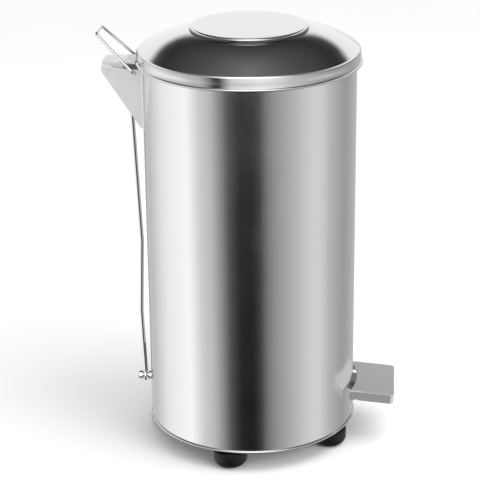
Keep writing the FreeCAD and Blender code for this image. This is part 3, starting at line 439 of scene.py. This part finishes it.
# The shell's two slots: how far they reach below and above the pedal's pivot, and their corners.
LEVER_CLEARANCE, LEVER_SLOT_BELOW, LEVER_SLOT_ABOVE, LEVER_SLOT_CORNER = 2.2 * MM, 32 * MM, 10 * MM, 3 * MM
STUD_SLOT_HALF, STUD_SLOT_BELOW, STUD_SLOT_ABOVE, STUD_SLOT_CORNER = 6.95 * MM, 11 * MM, 49 * MM, 4 * MM
SLOT_FROM, SLOT_TO = 120 * MM, 180 * MM   # a cutter's two ends, inside and outside the wall

LID_WALL, LIP_ROUND, DISC_ROUND = 0.8 * MM, 2 * MM, 3 * MM
DOME_ROUND, CREASE_ROUND = 150 * MM, 3.5 * MM

BUCKET_GAP, BUCKET_WALL, BUCKET_CORNER, BUCKET_CURL = 6.5 * MM, 1 * MM, 6 * MM, 0.75 * MM
HANDLE_WIRE, HANDLE_HOLE = 2.25 * MM, 2.55 * MM

FOOT_ROUND, FOOT_EDGE, FOOT_NECK = 14 * MM, 2 * MM, 19.5 * MM
SCREW_BORE, HEAD_BORE, HEAD_DEPTH = 3.4 * MM, 7.5 * MM, 10 * MM

ROD_WIRE, BAIL_WIRE = 3 * MM, 2 * MM


def make_shell():
    inside = SHELL_RADIUS - SHELL_WALL
    mouth = (SHELL_RADIUS, SHELL_TOP - MOUTH_BEAD)
    foot = (SHELL_RADIUS, SHELL_BOTTOM + FOOT_BEAD)
    mouth_end = 180 - math.degrees(math.acos(SHELL_WALL / MOUTH_BEAD))
    foot_end = math.degrees(math.acos(SHELL_WALL / FOOT_BEAD)) - 180
    heights = [SHELL_BOTTOM + rise * MM for rise in (10, 25, 50, 70, 90, 115, 175, 255, 335, 415, 495)]
    wall = [(SHELL_RADIUS, height) for height in heights]
    lining = [(inside, height) for height in reversed(heights)]
    profile = (circle_part(foot, FOOT_BEAD, foot_end, 90) + wall
               + circle_part(mouth, MOUTH_BEAD, -90, mouth_end) + lining)
    shell = lathe("shell_wall", profile)
    lever_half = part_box("pedal_lever")[1].x + LEVER_CLEARANCE
    subtract(shell, slot_cutter(lever_half, PIVOT_HEIGHT - LEVER_SLOT_BELOW, PIVOT_HEIGHT + LEVER_SLOT_ABOVE,
                                -SLOT_TO, -SLOT_FROM, LEVER_SLOT_CORNER))
    subtract(shell, slot_cutter(STUD_SLOT_HALF, PIVOT_HEIGHT - STUD_SLOT_BELOW,
                                PIVOT_HEIGHT + STUD_SLOT_ABOVE, SLOT_FROM, SLOT_TO, STUD_SLOT_CORNER))
    dress(shell, "can", "brushed_stainless", SHELL_STEEL, "outer_shell")


def make_lid():
    """One closed outline: the lip, skirt, crease, dome and disc outside, then back along the inside."""
    lip_bottom, top = lid_low.z, lid_high.z
    radius = lid_high.x - LIP_ROUND
    inside, disc = radius - LID_WALL, DISC_RADIUS
    shoulder, dome_start = SHELL_TOP + 4.5 * MM, SHELL_TOP + 6.5 * MM
    disc_base = top - 6.2 * MM

    skirt_top, crease_end = (radius - 0.85 * MM, shoulder - 0.67 * MM), (radius - 2.43 * MM, dome_start)
    corner, disc_foot = (disc - 2 * MM, disc_base + 0.7 * MM), (disc - 2.3 * MM, disc_base + 1.5 * MM)
    disc_side, disc_top = (disc, top - DISC_ROUND), (disc - DISC_ROUND, top)
    outer = [(inside, lip_bottom)]
    outer += circle_part((radius, lip_bottom + LIP_ROUND), LIP_ROUND, -90, 90, 14)
    outer += [(radius - 0.1 * MM, lip_bottom + 5 * MM), (radius - 0.5 * MM, lip_bottom + 10 * MM), skirt_top]
    outer += arc(skirt_top, crease_end, CREASE_ROUND, 8)
    outer += arc(crease_end, corner, DOME_ROUND, 48)
    outer += arc(corner, disc_foot, -MM, 5)
    outer += [disc_side]
    outer += arc(disc_side, disc_top, DISC_ROUND, 14)
    outer += [(across, top) for across in (70 * MM, 50 * MM, 30 * MM, 12 * MM, 0)]

    under = top - LID_WALL
    disc_inner_top, disc_inner_side = (disc - DISC_ROUND, under), (disc - LID_WALL, top - DISC_ROUND)
    inner_corner = (disc - LID_WALL, disc_base - LID_WALL)
    inner_crease = (radius - 2.8 * MM, dome_start - LID_WALL)
    inner_skirt = (inside - 0.7 * MM, shoulder - 2 * MM)
    inner = [(0, under), (50 * MM, under), disc_inner_top]
    inner += arc(disc_inner_top, disc_inner_side, LID_WALL - DISC_ROUND, 8)
    inner += [inner_corner]
    inner += arc(inner_corner, inner_crease, LID_WALL - DOME_ROUND, 48)
    inner += arc(inner_crease, inner_skirt, -2.7 * MM, 6)
    inner += [(inside, lip_bottom + 5 * MM)]
    lid = lathe("lid_pressing", outer + inner, 320, sharp=50)
    dress(lid, "lid", "polished_stainless", LID_STEEL, "lid_shell")


def make_bucket():
    low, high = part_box("inner_bucket")
    rim, top, bottom = high.x, high.z, low.z
    radius = SHELL_RADIUS - BUCKET_GAP
    inside, floor = radius - BUCKET_WALL, bottom + BUCKET_WALL
    step_in, step_out, step = (60 * MM, 62 * MM), (100 * MM, 102 * MM), 1 * MM
    rises = (100 * MM, 200 * MM, 300 * MM)
    curl = (rim - BUCKET_CURL, SHELL_TOP)
    profile = [(0, bottom), (step_in[0], bottom), (step_in[1], bottom + step), (step_out[0], bottom + step),
               (step_out[1], bottom), (radius - BUCKET_CORNER, bottom)]
    profile += arc((radius - BUCKET_CORNER, bottom), (radius, bottom + BUCKET_CORNER), BUCKET_CORNER, 10)
    profile += [(radius, bottom + rise) for rise in rises]
    profile += [(radius, SHELL_TOP - 10 * MM), (radius, SHELL_TOP), curl]
    profile += arc(curl, (curl[0], top), BUCKET_CURL * 1.0001, 10)
    profile += [(inside + MM, top)]
    profile += arc((inside + MM, top), (inside, top - MM), -MM, 5)
    profile += [(inside, SHELL_TOP - 14 * MM)]
    profile += [(inside, bottom + rise) for rise in reversed(rises)]
    profile += [(inside, bottom + BUCKET_CORNER)]
    profile += arc((inside, bottom + BUCKET_CORNER), (radius - BUCKET_CORNER, floor),
                   BUCKET_WALL - BUCKET_CORNER, 8)
    profile += [(step_out[1], floor), (step_out[0], floor + step), (step_in[1], floor + step),
                (step_in[0], floor), (0, floor)]
    bucket = lathe("bucket_wall", profile, 192)
    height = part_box("bucket_handle")[1].z - HANDLE_WIRE
    bm = bmesh.new()
    turn = Matrix.Translation((0, 0, height)) @ Matrix.Rotation(math.radians(90), 4, "Y")
    end = 160 * MM
    lathe_mesh(bm, [(0, -end), (HANDLE_HOLE, -end), (HANDLE_HOLE, end), (0, end)], 24, turn)
    subtract(bucket, finished(bm, "cutter"))
    dress(bucket, "can", "brushed_stainless", BUCKET_STEEL, "inner_bucket")


def make_feet():
    for number in range(1, 6):
        low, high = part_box(f"foot_{number}")
        centre = ((low.x + high.x) / 2, (low.y + high.y) / 2, 0)
        radius, top = (high.x - low.x) / 2, high.z
        shoulder = SHELL_BOTTOM - 3 * MM
        profile = [(HEAD_BORE, 0), (radius - FOOT_ROUND, 0)]
        profile += arc((radius - FOOT_ROUND, 0), (radius, FOOT_ROUND), FOOT_ROUND, 16)
        profile += [(radius, shoulder - FOOT_EDGE)]
        profile += arc((radius, shoulder - FOOT_EDGE), (radius - FOOT_EDGE, shoulder), FOOT_EDGE, 6)
        profile += [(FOOT_NECK, SHELL_BOTTOM - 0.8 * MM), (FOOT_NECK, top), (SCREW_BORE, top),
                    (SCREW_BORE, HEAD_DEPTH), (HEAD_BORE, HEAD_DEPTH)]
        foot = lathe(f"foot_rubber_{number}", profile, 64, centre)
        dress(foot, "can", "black_rubber", RUBBER, f"foot_{number}")


def make_rod():
    """The slightly bent rod, its pin at the top, and the ring at its foot that the stud goes through."""
    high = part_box("push_rod")[1]
    stud_low, stud_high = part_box("tail_stud")
    stud_height = (stud_low.z + stud_high.z) / 2
    eye_back = SHELL_RADIUS + 9.5 * MM
    pin_back, pin_height = SHELL_RADIUS + 18.7 * MM, high.z - ROD_WIRE
    path = bend([(0, eye_back, stud_height + 6.85 * MM), (0, SHELL_RADIUS + 13 * MM, stud_height + 105 * MM),
                 (0, SHELL_RADIUS + 9 * MM, stud_height + 216 * MM), (0, pin_back, pin_height),
                 (high.x, pin_back, pin_height)], [40 * MM, 40 * MM, 7 * MM], 10)
    bm = bmesh.new()
    tube_mesh(bm, path, ROD_WIRE)
    half, inner, outer, edge = 1.5 * MM, 4.6 * MM, 8.5 * MM, 0.6 * MM
    ring = [(inner + edge, -half), (outer - edge, -half), (outer, edge - half), (outer, half - edge),
            (outer - edge, half), (inner + edge, half), (inner, half - edge), (inner, edge - half)]
    turn = Matrix.Translation((0, eye_back, stud_height)) @ Matrix.Rotation(math.radians(90), 4, "X")
    lathe_mesh(bm, ring, 48, turn)
    dress(finished(bm, "push_rod_bar"), "rod", "bright_steel", WIRE_STEEL, "push_rod")


def make_bail():
    low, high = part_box("carry_bail")
    back, height = SHELL_RADIUS + 7 * MM, low.z + BAIL_WIRE
    half, tip, grip = high.x - BAIL_WIRE, 24 * MM, 27.1 * MM
    tip_back, tip_height = high.y - BAIL_WIRE, high.z - BAIL_WIRE
    path = bend([(-grip, back, height), (-half, back, height), (-tip, tip_back, tip_height),
                 (tip, tip_back, tip_height), (half, back, height), (grip, back, height)], 5 * MM, 10)
    dress(tube("bail_wire", path, BAIL_WIRE), "bail", "bright_steel", WIRE_STEEL, "carry_bail")


def make_bucket_handle():
    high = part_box("bucket_handle")[1]
    height, half, end = high.z - HANDLE_WIRE, SHELL_RADIUS - 15 * MM, high.x
    drop, steps = 6 * MM, 64
    left = bend([(-end, 0, height), (-half, 0, height), (-half, 0, height - drop)], drop / 2, 8)[:-1]
    bow = []
    for k in range(1, steps):
        angle = math.pi * k / steps
        bow.append(Vector((-half * math.cos(angle), 0, height - drop / 2 - half * math.sin(angle))))
    right = bend([(half, 0, height - drop), (half, 0, height), (end, 0, height)], drop / 2, 8)[1:]
    dress(tube("handle_wire", left + bow + right, HANDLE_WIRE), "bucket_handle", "bright_steel", WIRE_STEEL,
          "bucket_handle")


def make_formed_pieces():
    """Folded sheet and turned fixings: the node's own shape with its edges rolled over by a width."""
    for node, body, width, slot, material in (
            ("pedal_tread", "pedal", 0.7, "brushed_stainless", TREAD_STEEL),
            ("pedal_lever", "pedal", 0.6, "brushed_stainless", LEVER_STEEL),
            ("rear_bracket", "can", 0.4, "brushed_stainless", BRACKET_STEEL),
            ("lid_arm", "lid", 0.35, "brushed_stainless", BRACKET_STEEL),
            ("rod_lug", "lid", 0.4, "brushed_stainless", BRACKET_STEEL),
            ("pivot_clevis", "can", 0.5, "brushed_stainless", LEVER_STEEL),
            ("tail_nuts", "pedal", 0.4, "bright_steel", FIXING_STEEL),
            ("tail_washers", "pedal", 0.25, "bright_steel", FIXING_STEEL),
            ("tail_stud", "pedal", 0.5, "bright_steel", FIXING_STEEL),
            ("foot_nuts", "can", 0.4, "bright_steel", FIXING_STEEL),
            ("lever_axle", "can", 0.5, "bright_steel", FIXING_STEEL),
            ("hinge_pin", "can", 0.4, "bright_steel", BRACKET_STEEL)):
        dress(rounded_copy(node, width * MM), body, slot, material, node)


def dress_frame_nodes():
    """CAD nodes whose shape is right keep it and get a material."""
    materials = {"base_plate": BASE_STEEL, "bucket_ear_left": BUCKET_STEEL, "bucket_ear_right": BUCKET_STEEL,
                 "lever_bush_left": NYLON, "lever_bush_right": NYLON}
    for name, node in NODES.items():
        if node.hide_render:
            continue
        node.data.materials.clear()
        node.data.materials.append(materials.get(name, FIXING_STEEL))
        node.data.polygons.foreach_set("use_smooth", [True] * len(node.data.polygons))
        node.data.set_sharp_from_angle(angle=math.radians(30))


# ---------------------------------------------------------------- stage and light
def add_floor():
    bm = bmesh.new()
    bmesh.ops.create_grid(bm, x_segments=1, y_segments=1, size=8)
    floor = finished(bm, "floor")
    material = bpy.data.materials.new("floor_paper")
    material.use_nodes = True
    g = Graph(material.node_tree)
    place = g.node("ShaderNodeTexCoord").outputs["Object"]
    tone = g.ramp(g.noise(place, 3.0), [(0.3, 0.79), (0.7, 0.8)])
    g.shader({"Base Color": tone, "Roughness": 0.9, "Specular IOR Level": 0.0})
    floor.data.materials.append(material)
    floor.visible_glossy = False


def area_light(name, place, target, size, power):
    data = bpy.data.lights.new(name, "AREA")
    data.shape = "RECTANGLE"
    data.size, data.size_y = size
    data.energy = power
    light = bpy.data.objects.new(name, data)
    scene.collection.objects.link(light)
    place, target = Vector(place), Vector(target)
    light.matrix_world = (Matrix.Translation(place)
                          @ (target - place).to_track_quat("-Z", "Y").to_matrix().to_4x4())
    light.visible_glossy = False
    light.visible_camera = False
    return light


# How bright the studio is around the can, as the polished steel sees it.  Angles round the can are
# counted from the camera's side, and heights from the horizon.
FLOOR_LEVEL = [(-180, 0.6), (-140, 0.72), (-108, 1.25), (-72, 1.5), (-56, 0.95), (-44, 0.8), (-33, 0.42),
               (-24, 0.12), (-13, 0.02), (2, 0.01), (10, 0.05), (17, 0.24), (26, 0.42), (40, 0.6),
               (58, 0.84), (72, 1.0), (84, 0.95), (97, 0.7), (122, 0.48), (145, 0.58), (180, 0.62)]
EYE_LEVEL = [(-180, 1.2), (-150, 0.8), (-135, 0.45), (-80, 0.65), (-50, 0.6), (-42, 0.3), (-36, 0.05),
             (-30, 0.05), (-25, 0.4), (-18, 0.95), (10, 1.25), (28, 1.05), (43, 0.75), (66, 0.5),
             (92, 0.22), (104, 0.16), (130, 0.14), (150, 0.4), (180, 1.2)]
BEHIND_ABOVE = [(0, 1.13), (16.5, 1.13), (21, 0.06), (27, 0.03), (50, 0.09), (75, 0.2), (90, 0.26)]
CAMERA_ABOVE = [(-180, 0.3), (-50, 0.3), (-22, 1.9), (22, 1.9), (50, 0.3), (180, 0.3)]
SIDE_LIFT = [(-180, 0.0), (-174, 0.0), (-150, 0.75), (-135, 1.0), (0, 1.0), (135, 1.0), (150, 0.75),
             (174, 0.0), (180, 0.0)]
SIDE_LIFT_DEGREES = 12.5
# Where one part of the studio gives way to the next, in degrees above the horizon.
ABOVE_FROM, ABOVE_TO = 2, 5
FLOOR_TO, FLOOR_FROM = -11, -8.5
DEEP_TO, DEEP_FROM, DEEP_LEVEL = -48, -33, 0.3
STUDIO_STRENGTH = 2.0   # ramp colours stop at 1, so levels are halved in them
PLAIN_LIGHT = 1.12      # the even white that lights paper, rubber and nylon


def add_world():
    world = bpy.data.worlds.new("studio")
    scene.world = world
    world.use_nodes = True
    g = Graph(world.node_tree)
    direction = g.node("ShaderNodeTexCoord").outputs["Generated"]
    x, y, z = g.node("ShaderNodeSeparateXYZ", {0: direction}).outputs
    camera_side = math.atan2(CAMERA_PLACE.y, CAMERA_PLACE.x)
    c, s = math.cos(camera_side), math.sin(camera_side)
    toward = g.math("ADD", g.math("MULTIPLY", x, c), g.math("MULTIPLY", y, s))
    aside = g.math("SUBTRACT", g.math("MULTIPLY", y, c), g.math("MULTIPLY", x, s))
    turn = g.math("MULTIPLY_ADD", g.math("ARCTAN2", aside, toward), 0.5 / math.pi, 0.5)
    rise = g.math("MULTIPLY", g.math("ARCSINE", z), 2 / math.pi)

    def around(stops, scale=1 / STUDIO_STRENGTH):
        return g.ramp(turn, [((angle + 180) / 360, level * scale) for angle, level in stops])

    side = g.math("MULTIPLY", around(SIDE_LIFT, 1.0), SIDE_LIFT_DEGREES / 90)
    behind = g.ramp(g.math("SUBTRACT", rise, side),
                    [(angle / 90, level / STUDIO_STRENGTH) for angle, level in BEHIND_ABOVE])
    above = g.blend(g.fade(toward, -0.15, 0.3), behind, around(CAMERA_ABOVE))
    level = g.blend(g.fade(rise, ABOVE_FROM / 90, ABOVE_TO / 90), around(EYE_LEVEL), above)
    deep = g.fade(rise, DEEP_TO / 90, DEEP_FROM / 90)
    below = g.blend(1.0, around(FLOOR_LEVEL), g.range(deep, DEEP_LEVEL, 1.0), "MULTIPLY")
    seen = g.blend(g.fade(rise, FLOOR_TO / 90, FLOOR_FROM / 90), below, level)
    studio = g.node("ShaderNodeBackground", {"Color": seen, "Strength": STUDIO_STRENGTH})
    plain = g.node("ShaderNodeBackground", {"Color": (1, 1, 1, 1), "Strength": PLAIN_LIGHT})
    path = g.node("ShaderNodeLightPath")
    mixed = g.node("ShaderNodeMixShader", {0: path.outputs["Is Glossy Ray"], 1: plain.outputs[0],
                                           2: studio.outputs[0]})
    g.node("ShaderNodeOutputWorld", {"Surface": mixed.outputs[0]})


scene.view_settings.view_transform = "Standard"
add_camera()
make_shell()
make_lid()
make_bucket()
make_feet()
make_rod()
make_bail()
make_bucket_handle()
make_formed_pieces()
dress_frame_nodes()
add_floor()
add_world()
area_light("key", (-0.4, -1.3, 2.8), (0, 0, 0.1), (1.6, 1.6), 34)
area_light("fill", (-1.1, -1.3, 0.8), (0, -0.2, 0), (1.0, 1.0), 16)
